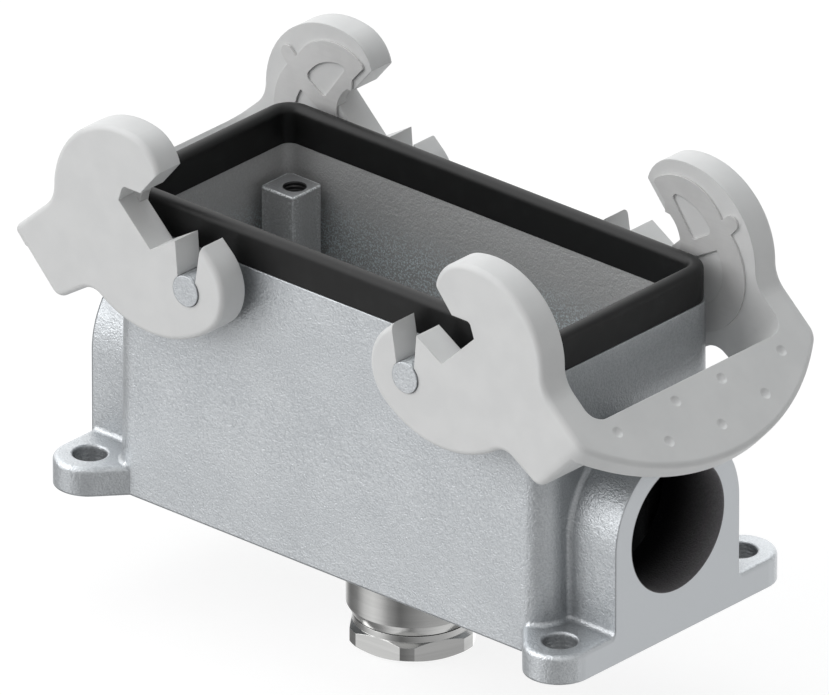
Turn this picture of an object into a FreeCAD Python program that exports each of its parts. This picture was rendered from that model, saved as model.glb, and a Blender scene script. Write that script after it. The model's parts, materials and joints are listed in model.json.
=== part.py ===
# Surface mounting base of a heavy duty rectangular connector, with two locking levers
# and a cable gland. Millimetres, +Z up, origin in the mounting plane at the middle of
# the four foot holes, +X along the housing.

import math
import os

import FreeCAD
import Part
import Sketcher
from FreeCAD import Placement, Rotation, Vector

# Driving dimensions, one cell of the sheet each
SIZES = {
    # housing body
    "body_half_length": 48.3,
    "body_half_width": 22.2,
    "body_corner_radius": 4.8,
    "body_draft": 0.68,
    "rim_above_pin": 1.0,
    "wall": 2.65,
    "floor": 3.5,
    # end bosses with the side entries
    "boss_radius": 15.4,
    "entry_height": 19.8,
    "entry_radius": 11.5,
    # feet, with holes beside the body's corners and ears flush with the faces of the end bosses
    "foot_hole_past_end": 4.2,
    "foot_hole_past_side": 0.3,
    "foot_hole_radius": 2.9,
    "foot_thickness": 5.1,
    "foot_ear_radius": 6.0,
    "foot_ear_shift": 0.4,
    "foot_flank_angle": 48.0,
    "foot_flank_depth": 3.0,
    "foot_edge_round": 0.5,
    "cast_fillet": 0.9,
    # inner pillars that take the insert screws, placed from the body's end and side
    "pillar_from_end": 9.55,
    "pillar_from_side": 8.7,
    "pillar_shift": 0.8,
    "pillar_half_side": 3.75,
    "pillar_corner": 0.9,
    "pillar_edge_round": 0.3,
    "pillar_below_ledge": 4.6,
    "pillar_hole_radius": 1.95,
    "pillar_hole_depth": 12.0,
    # lever pins, cast with the housing
    "pin_from_end": 23.9,
    "pin_height": 46.85,
    "pin_radius": 2.75,
    "pin_proud": 0.3,
    # rim tongue and gasket
    "tongue_inset": 0.7,
    "tongue_thickness": 1.1,
    "tongue_height": 4.0,
    "gasket_height": 6.75,
    "gasket_overhang": 0.15,
    "gasket_top_round": 1.35,
    "gasket_foot_round": 0.4,
    # lever cheeks
    "cheek_gap": 1.6,
    "cheek_thickness": 5.6,
    "pin_clearance": 0.08,
    "slot_half_neck": 1.7,
    "mouth_round": 1.0,
    "head_x": 15.0,
    "head_z": 9.8,
    "head_radius": 15.1,
    "brow_x": 11.5,
    "neck_radius": 5.8,
    "tail_length": 9.6,
    "hook_radius": 8.65,
    "notch_x": 21.3,
    "notch_radius": 3.4,
    "foot_round": 2.3,
    "edge_round": 1.0,
    # cross grip, in its own plane along the slope of the tail
    "grip_slope": 42.2,
    "grip_inner_edge": 6.25,
    "grip_reach": 21.1,
    "grip_side_reach": 7.55,
    "grip_corner": 3.6,
    "grip_inner_corner": 3.0,
    "grip_thickness": 4.4,
    "stop_half_width": 7.0,
    "stop_thickness": 1.6,
    "stop_gap": 0.3,
    "dimple_radius": 1.6,
    "dimple_depth": 0.35,
    # metal cam plates in the cheeks
    "plate_thickness": 2.2,
    "plate_proud": 0.4,
    "plate_eye_radius": 5.2,
    "plate_crown_radius": 9.8,
    "plate_finger_radius": 1.4,
    "plate_band_radius": 12.1,
    "plate_band_inner_radius": 7.4,
    "plate_cam_radius": 6.3,
    "window_crown_radius": 8.5,
    "window_corner_radius": 1.2,
    "window_tip_radius": 0.8,
    # gland
    "gland_seat_radius": 13.5,
    "gland_seat_depth": 0.4,
    "gland_thread_radius": 10.0,
    "gland_stub_top": 7.5,
    "gland_boss_radius": 14.0,
    "gland_boss_top": 7.0,
    "gland_body_radius": 11.4,
    "gland_chamfer_top": 12.9,
    "gland_body_length": 14.9,
    "gland_collar_radius": 10.35,
    "gland_collar_end": 16.2,
    "gland_hex_end": 19.7,
    "gland_cable_bore": 6.5,
    "gland_chamber_radius": 9.0,
    "gland_parting": 0.15,
    "thread_clearance": 0.06,
    "seal_depth": 3.0,
    "seal_length": 7.0,
    "seal_clearance": 0.1,
    "seal_bore": 5.0,
    "slip_ring_thickness": 1.0,
    "slip_ring_bore": 5.6,
    "screw_bore": 5.8,
    "screw_bore_chamfer": 1.0,
    "hex_half_flats": 10.35,
    "hex_corner_radius": 11.3,
    "hex_corner_drop": 0.55,
    "hex_turn": 6.0,
    "ring_recess_radius": 11.2,
    "ring_recess_depth": 1.05,
    "ring_section": 0.5,
    "ring_clearance": 0.1,
}

# Corners of the lever's side view and of its cam plate, from the pin axis
POINTS = {
    "tip": (6.3, 19.4),
    "mouth_roof": (10.2, 14.7),
    "mouth_back": (13.5, 14.7),
    "mouth_side": (14.4, 13.9),
    "mouth_corner": (15.1, 11.9),
    "mouth_floor": (8.0, 5.0),
    "wedge": (2.4, 8.4),
    "heel": (-3.1, 8.8),
    "hook": (0.6, 0.5),
    "belly": (8.1, 9.4),
    "tail_foot": (28.9, -8.15),
    "plate_corner_low": (8.0, 19.3),
    "plate_corner_high": (8.5, 20.3),
    "plate_crown_end": (22.9, 17.0),
    "finger_left": (24.25, 18.3),
    "finger_right": (26.15, 16.4),
    "band_start": (24.9, 14.95),
    "band_end": (15.4, -5.2),
    "eye_side": (4.9, 1.74),
    "band_inner_low": (17.5, -0.2),
    "band_inner_high": (21.9, 11.2),
    "web_low": (17.5, 8.7),
    "web_end": (13.8, 8.5),
    "cam_low": (13.85, 10.2),
    "cam_high": (11.5, 14.5),
    "roof_in": (10.5, 14.6),
    "roof_up": (10.4, 16.5),
    "window_left": (12.2, 17.6),
    "window_top": (13.0, 18.6),
    "window_right": (19.9, 15.3),
    "window_low": (19.6, 13.2),
    "window_tip_right": (17.3, 11.75),
    "window_tip_left": (16.2, 12.0),
}

for point_name, (point_x, point_z) in POINTS.items():
    SIZES[point_name + "_x"] = point_x
    SIZES[point_name + "_z"] = point_z

# Finger dimples in the grip, along the slope and across it, as shares of its reach and half width
DIMPLES = [(0.42, 0.195), (0.42, -0.195), (0.435, 0.695), (0.435, -0.695),
           (0.683, 0.408), (0.683, -0.408), (0.747, 0.0)]


class Size:
    """A size with both its number and the sheet formula that gives the number."""

    def __init__(self, value, text):
        self.value = float(value)
        self.text = text

    def joined(self, other, sign, value):
        return Size(value, "(%s %s %s)" % (self.text, sign, other.text))

    def __add__(self, other):
        other = as_size(other)
        return self.joined(other, "+", self.value + other.value)

    def __sub__(self, other):
        other = as_size(other)
        return self.joined(other, "-", self.value - other.value)

    def __mul__(self, other):
        other = as_size(other)
        return self.joined(other, "*", self.value * other.value)

    def __truediv__(self, other):
        other = as_size(other)
        return self.joined(other, "/", self.value / other.value)

    def __neg__(self):
        return Size(-self.value, "(-%s)" % self.text)


def as_size(value):
    """Plain numbers in a formula become sizes of their own."""
    return value if isinstance(value, Size) else Size(value, "%.9g" % value)


def sin(angle):
    return Size(math.sin(math.radians(angle.value)), "sin(%s)" % angle.text)


def cos(angle):
    return Size(math.cos(math.radians(angle.value)), "cos(%s)" % angle.text)


def tan(angle):
    return Size(math.tan(math.radians(angle.value)), "tan(%s)" % angle.text)


def root(square):
    return Size(math.sqrt(square.value), "sqrt(%s)" % square.text)


def other_leg(longest, leg):
    """The second leg of a right triangle."""
    return root(longest * longest - leg * leg)


def dim(name):
    """The named driving dimension."""
    return Size(SIZES[name], "sizes." + name)


def corner(name):
    """The named corner of the lever's side view."""
    return dim(name + "_x"), dim(name + "_z")


def make_sheet(doc):
    """Write every driving dimension into the sheet under its alias."""
    sheet = doc.addObject("Spreadsheet::Sheet", "sizes")
    for row, (name, value) in enumerate(SIZES.items(), 1):
        sheet.set("A%d" % row, name)
        sheet.set("B%d" % row, str(value))
        sheet.setAlias("B%d" % row, name)
    doc.recompute()


def bind(thing, prop, size):
    """Drive a property from the sheet."""
    thing.setExpression(prop, as_size(size).text)


# Sketches

def attach(thing, body, role, base=(0, 0, 0), turn=None):
    """Attach to one of the body's origin planes, moved by base and tilted about Y by turn."""
    plane = [f for f in body.Origin.OriginFeatures if f.Role == role][0]
    thing.AttachmentSupport = [(plane, "")]
    thing.MapMode = "FlatFace"
    base = [as_size(value) for value in base]
    start = Vector(*[value.value for value in base])
    tilt = Rotation(Vector(0, 1, 0), turn.value if turn else 0)
    thing.AttachmentOffset = Placement(start, tilt)
    for axis, value in zip("xyz", base):
        if value.value:
            bind(thing, "AttachmentOffset.Base." + axis, value)
    if turn:
        bind(thing, "AttachmentOffset.Rotation.Angle", turn)


def sketch_on(body, role, name, base=(0, 0, 0), turn=None):
    """A sketch on one of the body's own origin planes."""
    sketch = body.newObject("Sketcher::SketchObject", name)
    attach(sketch, body, role, base, turn)
    return sketch


def constrain(sketch, kind, places, size):
    """Add a constraint whose value comes from the sheet."""
    index = sketch.addConstraint(Sketcher.Constraint(kind, *places, size.value))
    bind(sketch, "Constraints[%d]" % index, size)


def pin_point(sketch, index, end, point):
    """Fix one end of a piece of geometry at a point given by two sizes."""
    for kind, size in zip(("DistanceX", "DistanceY"), point):
        constrain(sketch, kind, (-1, 1, index, end), size)


def arc_between(start, end, radius, side):
    """The shorter arc from start to end; side is 1 if it turns clockwise and -1 if not."""
    half = (end - start) * 0.5
    across = Vector(half.y, -half.x, 0).normalize()
    rise = math.sqrt(max(radius ** 2 - half.Length ** 2, 0))
    centre = start + half + across * rise * side
    first, last = (end, start) if side > 0 else (start, end)
    angles = [math.atan2(p.y - centre.y, p.x - centre.x) for p in (first, last)]
    return Part.ArcOfCircle(Part.Circle(centre, Vector(0, 0, 1), radius), *angles)


def outline(sketch, start, steps):
    """A closed outline: each step is (end,) for a line or (end, radius, side) for an arc."""
    points = [[as_size(value) for value in step[0]] for step in steps]
    corners = [[as_size(value) for value in start]] + points[:-1]
    ends = []
    for here, there, step in zip(corners, points, steps):
        first = Vector(here[0].value, here[1].value, 0)
        last = Vector(there[0].value, there[1].value, 0)
        if len(step) == 1:
            index = sketch.addGeometry(Part.LineSegment(first, last), False)
            ends.append((index, 1, 2))
        else:
            radius, side = as_size(step[1]), step[2]
            index = sketch.addGeometry(arc_between(first, last, radius.value, side), False)
            constrain(sketch, "Radius", (index,), radius)
            ends.append((index, 2, 1) if side > 0 else (index, 1, 2))
    for number, (index, begin, _) in enumerate(ends):
        before, _, finish = ends[number - 1]
        sketch.addConstraint(Sketcher.Constraint("Coincident", before, finish, index, begin))
        pin_point(sketch, index, begin, corners[number])


def circle(sketch, x, y, radius):
    """A circle with its centre and radius driven by the sheet."""
    x, y, radius = as_size(x), as_size(y), as_size(radius)
    ring = Part.Circle(Vector(x.value, y.value, 0), Vector(0, 0, 1), radius.value)
    index = sketch.addGeometry(ring, False)
    constrain(sketch, "Radius", (index,), radius)
    pin_point(sketch, index, 3, (x, y))


def rounded_rectangle(sketch, half_x, half_y, radius, centre=(0, 0)):
    """A rectangle with round corners about a centre."""
    x, y = [as_size(value) for value in centre]
    in_x, in_y = half_x - radius, half_y - radius
    outline(sketch, (x - in_x, y + half_y), [
        ((x + in_x, y + half_y),),
        ((x + half_x, y + in_y), radius, 1),
        ((x + half_x, y - in_y),),
        ((x + in_x, y - half_y), radius, 1),
        ((x - in_x, y - half_y),),
        ((x - half_x, y - in_y), radius, 1),
        ((x - half_x, y + in_y),),
        ((x - in_x, y + half_y), radius, 1),
    ])


# Features

def new_body(doc, label):
    body = doc.addObject("PartDesign::Body", label)
    body.Label = label
    return body


def feature(body, kind, name, sketch, length, symmetric=False, backwards=False):
    """A pad or pocket; one that changes nothing is an error."""
    before = body.Shape.Volume if body.Tip else 0
    made = body.newObject("PartDesign::" + kind, name)
    made.Profile = sketch
    made.SideType = "Symmetric" if symmetric else "One side"
    made.Reversed = backwards
    bind(made, "Length", length)
    body.Document.recompute()
    change = body.Shape.Volume - before
    if change * (1 if kind == "Pad" else -1) <= 0:
        raise RuntimeError("%s of %s changes nothing" % (name, body.Label))
    return made


def turned(body, name, profile):
    """A solid turned about Z from a closed profile of radius and height pairs."""
    sketch = sketch_on(body, "XZ_Plane", name + "_profile")
    outline(sketch, profile[0], [(point,) for point in profile[1:] + profile[:1]])
    made = body.newObject("PartDesign::Revolution", name)
    made.Profile = sketch
    made.ReferenceAxis = (sketch, ["V_Axis"])
    body.Document.recompute()
    return made


def round_edges(body, name, radius, wanted):
    """Fillet the edges of the body that the test picks."""
    base = body.Tip
    names = ["Edge%d" % (i + 1) for i, edge in enumerate(base.Shape.Edges) if wanted(edge)]
    made = body.newObject("PartDesign::Fillet", name)
    made.Base = (base, names)
    bind(made, "Radius", radius)
    body.Document.recompute()
    if not made.Shape.isValid() or made.Shape.isNull():
        raise RuntimeError("%s of %s has no valid shape" % (name, body.Label))
    return made


def middle(edge):
    """The point half way along an edge."""
    return edge.valueAt((edge.FirstParameter + edge.LastParameter) / 2)


def near(value, size):
    return abs(value - size.value) < 0.01


# Places that follow from the driving dimensions

def ledge_height():
    """The ledge that carries the gasket, above the lever pins."""
    return dim("pin_height") + dim("pin_radius") + dim("rim_above_pin")


def rim_half_length():
    """Half length of the drafted body at the rim ledge."""
    return dim("body_half_length") - ledge_height() * tan(dim("body_draft"))


def rim_half_width():
    return dim("body_half_width") - ledge_height() * tan(dim("body_draft"))


def foot_hole():
    return (dim("body_half_length") + dim("foot_hole_past_end"),
            dim("body_half_width") + dim("foot_hole_past_side"))


def boss_face():
    """The end faces of the bosses are flush with the ears of the feet."""
    return foot_hole()[0] + dim("foot_ear_radius")


def pin_x():
    return dim("body_half_length") - dim("pin_from_end")


def cheek_inner():
    """The inside of the lever cheeks, clear of the body's side."""
    return dim("body_half_width") + dim("cheek_gap")


def cheek_outer():
    return cheek_inner() + dim("cheek_thickness")


# Housing


def rim_outline(sketch, inset):
    """The rim's outline, moved inwards by inset."""
    rounded_rectangle(sketch, rim_half_length() - inset, rim_half_width() - inset,
                      dim("body_corner_radius") - inset)


def foot_outline(sketch, end):
    """The flange with two ears at one end of the body; end is 1 or -1."""
    hole_x, hole_y = foot_hole()
    ear, ear_y = dim("foot_ear_radius"), hole_y + dim("foot_ear_shift")
    angle = dim("foot_flank_angle")
    flank_x, flank_y = hole_x - ear * sin(angle), ear_y + ear * cos(angle)
    root_y = dim("body_half_width") - dim("foot_flank_depth")
    root_x = flank_x - (flank_y - root_y) / tan(angle)
    outline(sketch, (root_x * end, root_y), [
        ((flank_x * end, flank_y),),
        ((boss_face() * end, ear_y), ear, end),
        ((boss_face() * end, -ear_y),),
        ((flank_x * end, -flank_y), ear, end),
        ((root_x * end, -root_y),),
        ((root_x * end, root_y),),
    ])


def boss_outline(sketch):
    """The arch of the end bosses, standing on the mounting plane."""
    radius, height = dim("boss_radius"), dim("entry_height")
    outline(sketch, (-radius, 0), [
        ((-radius, height),),
        ((0, height + radius), radius, 1),
        ((radius, height), radius, 1),
        ((radius, 0),),
        ((-radius, 0),),
    ])


def in_cast_corner(edge):
    """Edges where the feet, the end bosses and the end walls meet."""
    point = middle(edge)
    on_foot = near(point.z, dim("foot_thickness"))
    at_boss = near(abs(point.y), dim("boss_radius")) and abs(point.x) < boss_face().value - 0.1
    at_body = abs(point.x) < SIZES["body_half_length"] + 0.1
    on_wall = rim_half_length().value < abs(point.x) < SIZES["body_half_length"]
    beside_boss = abs(point.y) < SIZES["boss_radius"] + 0.1
    return (on_foot and (at_boss or at_body)) or (
        on_wall and beside_boss and point.z > SIZES["foot_thickness"] + 0.1)


def cast_outside(body):
    """Body, feet, end bosses and lever pins, with the cast fillets between them."""
    sketch = sketch_on(body, "XY_Plane", "body_plan")
    rounded_rectangle(sketch, dim("body_half_length"), dim("body_half_width"),
                      dim("body_corner_radius"))
    block = feature(body, "Pad", "body_block", sketch, ledge_height())
    bind(block, "TaperAngle", -dim("body_draft"))
    body.Document.recompute()
    for end, name in ((1, "right_feet"), (-1, "left_feet")):
        sketch = sketch_on(body, "XY_Plane", name + "_plan")
        foot_outline(sketch, end)
        feature(body, "Pad", name, sketch, dim("foot_thickness"))
    sketch = sketch_on(body, "YZ_Plane", "boss_arch")
    boss_outline(sketch)
    feature(body, "Pad", "end_bosses", sketch, boss_face() * 2, symmetric=True)
    round_edges(body, "cast_fillets", dim("cast_fillet"), in_cast_corner)
    sketch = sketch_on(body, "XZ_Plane", "lever_pin_section")
    for end in (1, -1):
        circle(sketch, pin_x() * end, dim("pin_height"), dim("pin_radius"))
    reach = cheek_outer() + dim("pin_proud")
    feature(body, "Pad", "lever_pins", sketch, reach * 2, symmetric=True)


def hollow_out(body):
    """The hollow with its open top, the side entries and the foot holes."""
    top = ledge_height()
    sketch = sketch_on(body, "XY_Plane", "hollow_plan", (0, 0, top))
    rim_outline(sketch, dim("wall"))
    feature(body, "Pocket", "hollow", sketch, top - dim("floor"))
    sketch = sketch_on(body, "YZ_Plane", "side_entries")
    circle(sketch, 0, dim("entry_height"), dim("entry_radius"))
    feature(body, "Pocket", "side_entry_bores", sketch, boss_face() * 2, symmetric=True)
    sketch = sketch_on(body, "XY_Plane", "foot_holes_plan", (0, 0, dim("foot_thickness")))
    hole_x, hole_y = foot_hole()
    for end in (1, -1):
        for side in (1, -1):
            circle(sketch, hole_x * end, hole_y * side, dim("foot_hole_radius"))
    feature(body, "Pocket", "foot_holes", sketch, dim("foot_thickness"))

    def foot_rim(edge):
        point = middle(edge)
        ear = abs(point.y) > hole_y.value and abs(point.x) < boss_face().value - 0.05
        return near(point.z, dim("foot_thickness")) and (edge.isClosed() or ear)

    round_edges(body, "foot_edges", dim("foot_edge_round"), foot_rim)


def gland_seat(body):
    """The boss in the floor with the gland's hole, its spot face and its seal ring's recess."""
    sketch = sketch_on(body, "XY_Plane", "gland_boss_plan")
    circle(sketch, 0, 0, dim("gland_boss_radius"))
    feature(body, "Pad", "gland_boss", sketch, dim("gland_boss_top"))
    seat = dim("gland_seat_depth")
    for name, radius, depth in (("gland_hole", "gland_thread_radius", dim("gland_boss_top")),
                                ("gland_spot_face", "gland_seat_radius", seat),
                                ("ring_recess", "ring_recess_radius", seat + dim("ring_recess_depth"))):
        sketch = sketch_on(body, "XY_Plane", name + "_plan")
        circle(sketch, 0, 0, dim(radius))
        feature(body, "Pocket", name, sketch, depth, backwards=True)


def insert_pillars(body):
    """Four square pillars with blind holes for the screws of the contact insert."""
    x = dim("body_half_length") - dim("pillar_from_end")
    y = dim("body_half_width") - dim("pillar_from_side")
    half, shift = dim("pillar_half_side"), dim("pillar_shift")
    root, top = dim("floor") / 2, ledge_height() - dim("pillar_below_ledge")
    sides = [(side_x, side_y) for side_x in (1, -1) for side_y in (1, -1)]
    sketch = sketch_on(body, "XY_Plane", "pillar_plan", (0, 0, root))
    for side_x, side_y in sides:
        rounded_rectangle(sketch, half, half, dim("pillar_corner"), ((x + shift) * side_x, y * side_y))
    feature(body, "Pad", "pillars", sketch, top - root)
    sketch = sketch_on(body, "XY_Plane", "pillar_holes_plan", (0, 0, top))
    for side_x, side_y in sides:
        circle(sketch, x * side_x, y * side_y, dim("pillar_hole_radius"))
    feature(body, "Pocket", "pillar_holes", sketch, dim("pillar_hole_depth"))
    round_edges(body, "pillar_edges", dim("pillar_edge_round"),
                lambda edge: near(middle(edge).z, top) and not edge.isClosed()
                and abs(middle(edge).x) < (x + shift + half).value + 0.1)


def tongue_sketch(body, name):
    """The ring that the tongue and the gasket's groove share, on the rim ledge."""
    sketch = sketch_on(body, "XY_Plane", name, (0, 0, ledge_height()))
    outer = dim("wall") - dim("tongue_inset") - dim("tongue_thickness")
    rim_outline(sketch, outer)
    rim_outline(sketch, outer + dim("tongue_thickness"))
    return sketch


def make_housing(doc):
    """The die casting that carries everything else."""
    body = new_body(doc, "housing")
    cast_outside(body)
    hollow_out(body)
    gland_seat(body)
    insert_pillars(body)
    feature(body, "Pad", "rim_tongue", tongue_sketch(body, "tongue_plan"), dim("tongue_height"))
    return body


def make_gasket(doc):
    """The rubber moulding over the rim, with a groove for the tongue."""
    body = new_body(doc, "rim_gasket")
    ledge = ledge_height()
    sketch = sketch_on(body, "XY_Plane", "gasket_plan", (0, 0, ledge))
    rim_outline(sketch, as_size(0))
    rim_outline(sketch, dim("wall") + dim("gasket_overhang"))
    feature(body, "Pad", "gasket_ring", sketch, dim("gasket_height"))
    top = ledge + dim("gasket_height")
    round_edges(body, "top_rounds", dim("gasket_top_round"),
                lambda edge: near(middle(edge).z, top))

    def outer_foot(edge):
        point = middle(edge)
        past_end = abs(point.x) > rim_half_length().value - SIZES["wall"] / 2
        past_side = abs(point.y) > rim_half_width().value - SIZES["wall"] / 2
        return near(point.z, ledge) and (past_end or past_side)

    round_edges(body, "foot_rounds", dim("gasket_foot_round"), outer_foot)
    feature(body, "Pocket", "tongue_groove", tongue_sketch(body, "groove_plan"),
            dim("tongue_height"), backwards=True)
    return body


# Levers, each built about its pin axis with the grip towards +X

def nape():
    """Where the round head turns into the neck."""
    return dim("head_x") + dim("head_radius"), dim("head_z")


def neck_end():
    """Where the neck meets the sloping top of the tail; the grip's plane starts here."""
    x, z = nape()
    radius, slope = dim("neck_radius"), dim("grip_slope")
    return x + radius - radius * sin(slope), z - radius * cos(slope)


def touch(point, centre, radius, side):
    """Where the line from a point touches a circle, counterclockwise of it if side is 1."""
    across, up = point[0] - centre[0], point[1] - centre[1]
    square = across * across + up * up
    share = radius * radius / square
    turn = radius * root(square - radius * radius) / square * side
    return centre[0] + across * share - up * turn, centre[1] + up * share + across * turn


def brow():
    """Where the round brow runs into the head circle, and the brow's own radius."""
    (tip_x, tip_z), head = corner("tip"), dim("head_radius")
    end_x, across = dim("brow_x"), dim("brow_x") - dim("head_x")
    up = other_leg(head, across)
    drop_x, drop_z = end_x - tip_x, dim("head_z") + up - tip_z
    square = drop_x * drop_x + drop_z * drop_z
    return (end_x, dim("head_z") + up), square * head / ((drop_x * across + drop_z * up) * 2)


def belly():
    """The belly's radius, and where the belly runs into the hook's circle."""
    (hook_x, hook_z), (belly_x, belly_z) = corner("hook"), corner("belly")
    across, down = hook_x - belly_x, hook_z - belly_z
    apart = root(across * across + down * down)
    share = dim("hook_radius") / apart
    return dim("hook_radius") + apart, (hook_x + across * share, hook_z + down * share)


def notch():
    """The corner between belly and tail, before it is rounded."""
    return dim("notch_x"), dim("belly_z") - other_leg(belly()[0], dim("notch_x") - dim("belly_x"))


def cheek_outline(sketch):
    """The lever's side view: head, tail, round hook, pin slot and mouth."""
    brow_end, brow_radius = brow()
    belly_radius, belly_end = belly()
    tail_x, tail_z = neck_end()
    slope, length = dim("grip_slope"), dim("tail_length")
    tail_top = (tail_x + length * cos(slope), tail_z - length * sin(slope))
    foot, foot_centre = dim("foot_round"), corner("tail_foot")
    outline(sketch, corner("tip"), [
        (brow_end, brow_radius, 1),
        (nape(), dim("head_radius"), 1),
        (neck_end(), dim("neck_radius"), -1),
        (tail_top,),
        (touch(tail_top, foot_centre, foot, -1),),
        (touch(notch(), foot_centre, foot, 1), foot, 1),
        (notch(),),
        (belly_end, belly_radius, 1),
        (touch(corner("heel"), corner("hook"), dim("hook_radius"), 1), dim("hook_radius"), 1),
        (corner("heel"),),
        ((-dim("slot_half_neck"), 0),),
        ((dim("slot_half_neck"), 0),),
        (corner("wedge"),),
        (corner("mouth_floor"),),
        (corner("mouth_corner"),),
        (corner("mouth_side"),),
        (corner("mouth_back"), dim("mouth_round"), -1),
        (corner("mouth_roof"),),
        (corner("tip"),),
    ])


def plate_outline(sketch):
    """The cam plate: a band from the eye round the pin to the cam edge in the mouth."""
    eye, bore = dim("plate_eye_radius"), dim("pin_radius") + dim("pin_clearance")
    eye_top = other_leg(eye, bore)
    outline(sketch, corner("plate_corner_low"), [
        (corner("plate_corner_high"), dim("window_corner_radius"), 1),
        (corner("plate_crown_end"), dim("plate_crown_radius"), 1),
        (corner("finger_left"),),
        (corner("finger_right"), dim("plate_finger_radius"), 1),
        (corner("band_start"),),
        (corner("band_end"), dim("plate_band_radius"), 1),
        ((0, -eye),),
        ((-eye, 0), eye, 1),
        ((-bore, eye_top), eye, 1),
        ((-bore, 0),),
        ((0, -bore), bore, -1),
        ((bore, 0), bore, -1),
        ((bore, eye_top),),
        (corner("eye_side"), eye, 1),
        (corner("band_inner_low"),),
        (corner("band_inner_high"), dim("plate_band_inner_radius"), -1),
        (corner("web_low"),),
        (corner("web_end"),),
        (corner("cam_low"),),
        (corner("cam_high"), dim("plate_cam_radius"), -1),
        (corner("roof_in"),),
        (corner("roof_up"),),
        (corner("plate_corner_low"),),
    ])
    outline(sketch, corner("window_left"), [
        (corner("window_top"), dim("window_tip_radius"), 1),
        (corner("window_right"), dim("window_crown_radius"), 1),
        (corner("window_low"), dim("window_corner_radius"), 1),
        (corner("window_tip_right"),),
        (corner("window_tip_left"), dim("window_tip_radius"), 1),
        (corner("window_left"),),
    ])


def grip_sketch(body, name):
    """A sketch in the plane of the grip's top, X down the slope and Y across."""
    x, z = neck_end()
    return sketch_on(body, "XY_Plane", name, (x, 0, z), dim("grip_slope"))


def grip_bulge():
    """Radius of the grip's bulging edge, from its reach in the middle and at the sides."""
    radius = dim("grip_corner")
    half, rise = cheek_outer() - radius, dim("grip_reach") - dim("grip_side_reach")
    return (rise * rise + half * half - radius * radius) / ((rise - radius) * 2)


def grip_corner():
    """Where the grip's round corner meets its side and its bulging edge."""
    bulge, radius, side = grip_bulge(), dim("grip_corner"), cheek_outer()
    along = bulge - dim("grip_reach") + dim("grip_side_reach")
    share = bulge / (bulge - radius)
    centre = dim("grip_reach") - bulge
    return (dim("grip_side_reach"), side), (centre + along * share, (side - radius) * share)


def grip_plate(body):
    """The cross grip with its bulging edge, and the trimmed corners of the tail below it."""
    (side_x, side_y), (edge_x, edge_y) = grip_corner()
    radius, root = dim("grip_corner"), dim("grip_inner_corner")
    sketch = grip_sketch(body, "grip_plan")
    outline(sketch, (root, side_y), [
        ((side_x, side_y),),
        ((edge_x, edge_y), radius, 1),
        ((edge_x, -edge_y), grip_bulge(), 1),
        ((side_x, -side_y), radius, 1),
        ((root, -side_y),),
        ((root, side_y),),
    ])
    feature(body, "Pad", "grip", sketch, dim("grip_thickness"), backwards=True)
    sketch = grip_sketch(body, "corner_trim_plan")
    out_x, out_y = edge_x + radius * 2, side_y + radius
    for side in (1, -1):
        outline(sketch, (side_x, side_y * side), [
            ((edge_x, edge_y * side), radius, side),
            ((out_x, edge_y * side),),
            ((out_x, out_y * side),),
            ((side_x, out_y * side),),
            ((side_x, side_y * side),),
        ])
    feature(body, "Pocket", "corner_trim", sketch, dim("head_radius") * 8, symmetric=True)


def open_between_cheeks(body):
    """The gap that the housing stands in, up to the wall below the grip's inner edge."""
    sketch = grip_sketch(body, "gap_plan")
    half, edge, radius = cheek_inner(), dim("grip_inner_edge"), dim("grip_inner_corner")
    start = -dim("head_radius") * 3
    outline(sketch, (start, half), [
        ((edge - radius, half),),
        ((edge, half - radius), radius, 1),
        ((edge, -half + radius),),
        ((edge - radius, -half), radius, 1),
        ((start, -half),),
        ((start, half),),
    ])
    feature(body, "Pocket", "gap", sketch, dim("head_radius") * 8, symmetric=True)


def stop_nose(body):
    """The nose below the grip that rests over the end boss when the lever is open."""
    foot_x, foot_z = corner("tail_foot")
    low = dim("entry_height") + dim("boss_radius") + dim("stop_gap") - dim("pin_height")
    sketch = sketch_on(body, "XZ_Plane", "stop_section")
    right = foot_x + dim("stop_thickness")
    outline(sketch, (foot_x, foot_z), [
        ((right, foot_z),),
        ((right, low),),
        ((foot_x, low),),
        ((foot_x, foot_z),),
    ])
    feature(body, "Pad", "stop_nose", sketch, dim("stop_half_width") * 2, symmetric=True)


def in_grip(point):
    """A point's place along the grip's slope and above its top."""
    x, z = neck_end()
    slope = math.radians(SIZES["grip_slope"])
    dx, dz = point.x - x.value, point.z - z.value
    return dx * math.cos(slope) - dz * math.sin(slope), dx * math.sin(slope) + dz * math.cos(slope)


def on_lever_rim(edge):
    """The outside edges of the cheeks and the top edge of the grip, but not mouth and slot."""
    point = middle(edge)
    along, above = in_grip(point)
    on_side = near(abs(point.y), cheek_outer())
    low = -SIZES["plate_eye_radius"]
    in_mouth = SIZES["heel_x"] < point.x < SIZES["mouth_corner_x"] and low < point.z < SIZES["tip_z"]
    at_seam = near(along, grip_corner()[0][0])
    on_top = abs(above) < 0.01 and along > grip_corner()[0][0].value
    return (on_side and not in_mouth and not at_seam) or on_top


def on_grip_underside(edge):
    """The lower edge of the grip's bulge."""
    point = middle(edge)
    along, above = in_grip(point)
    return near(-above, dim("grip_thickness")) and along > grip_corner()[1][0].value


def grip_dimples(body):
    """Shallow round dimples in the grip for the thumb."""
    radius, slope = dim("dimple_radius"), dim("grip_slope")
    x, z = neck_end()
    above = radius - dim("dimple_depth")
    for number, (along, across) in enumerate(DIMPLES, 1):
        dimple = body.newObject("PartDesign::SubtractiveSphere", "dimple_%d" % number)
        reach = dim("grip_reach") * along
        place = (x + reach * cos(slope) + above * sin(slope), cheek_outer() * across,
                 z - reach * sin(slope) + above * cos(slope))
        attach(dimple, body, "XY_Plane", place)
        bind(dimple, "Radius", radius)
        body.Document.recompute()


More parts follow.
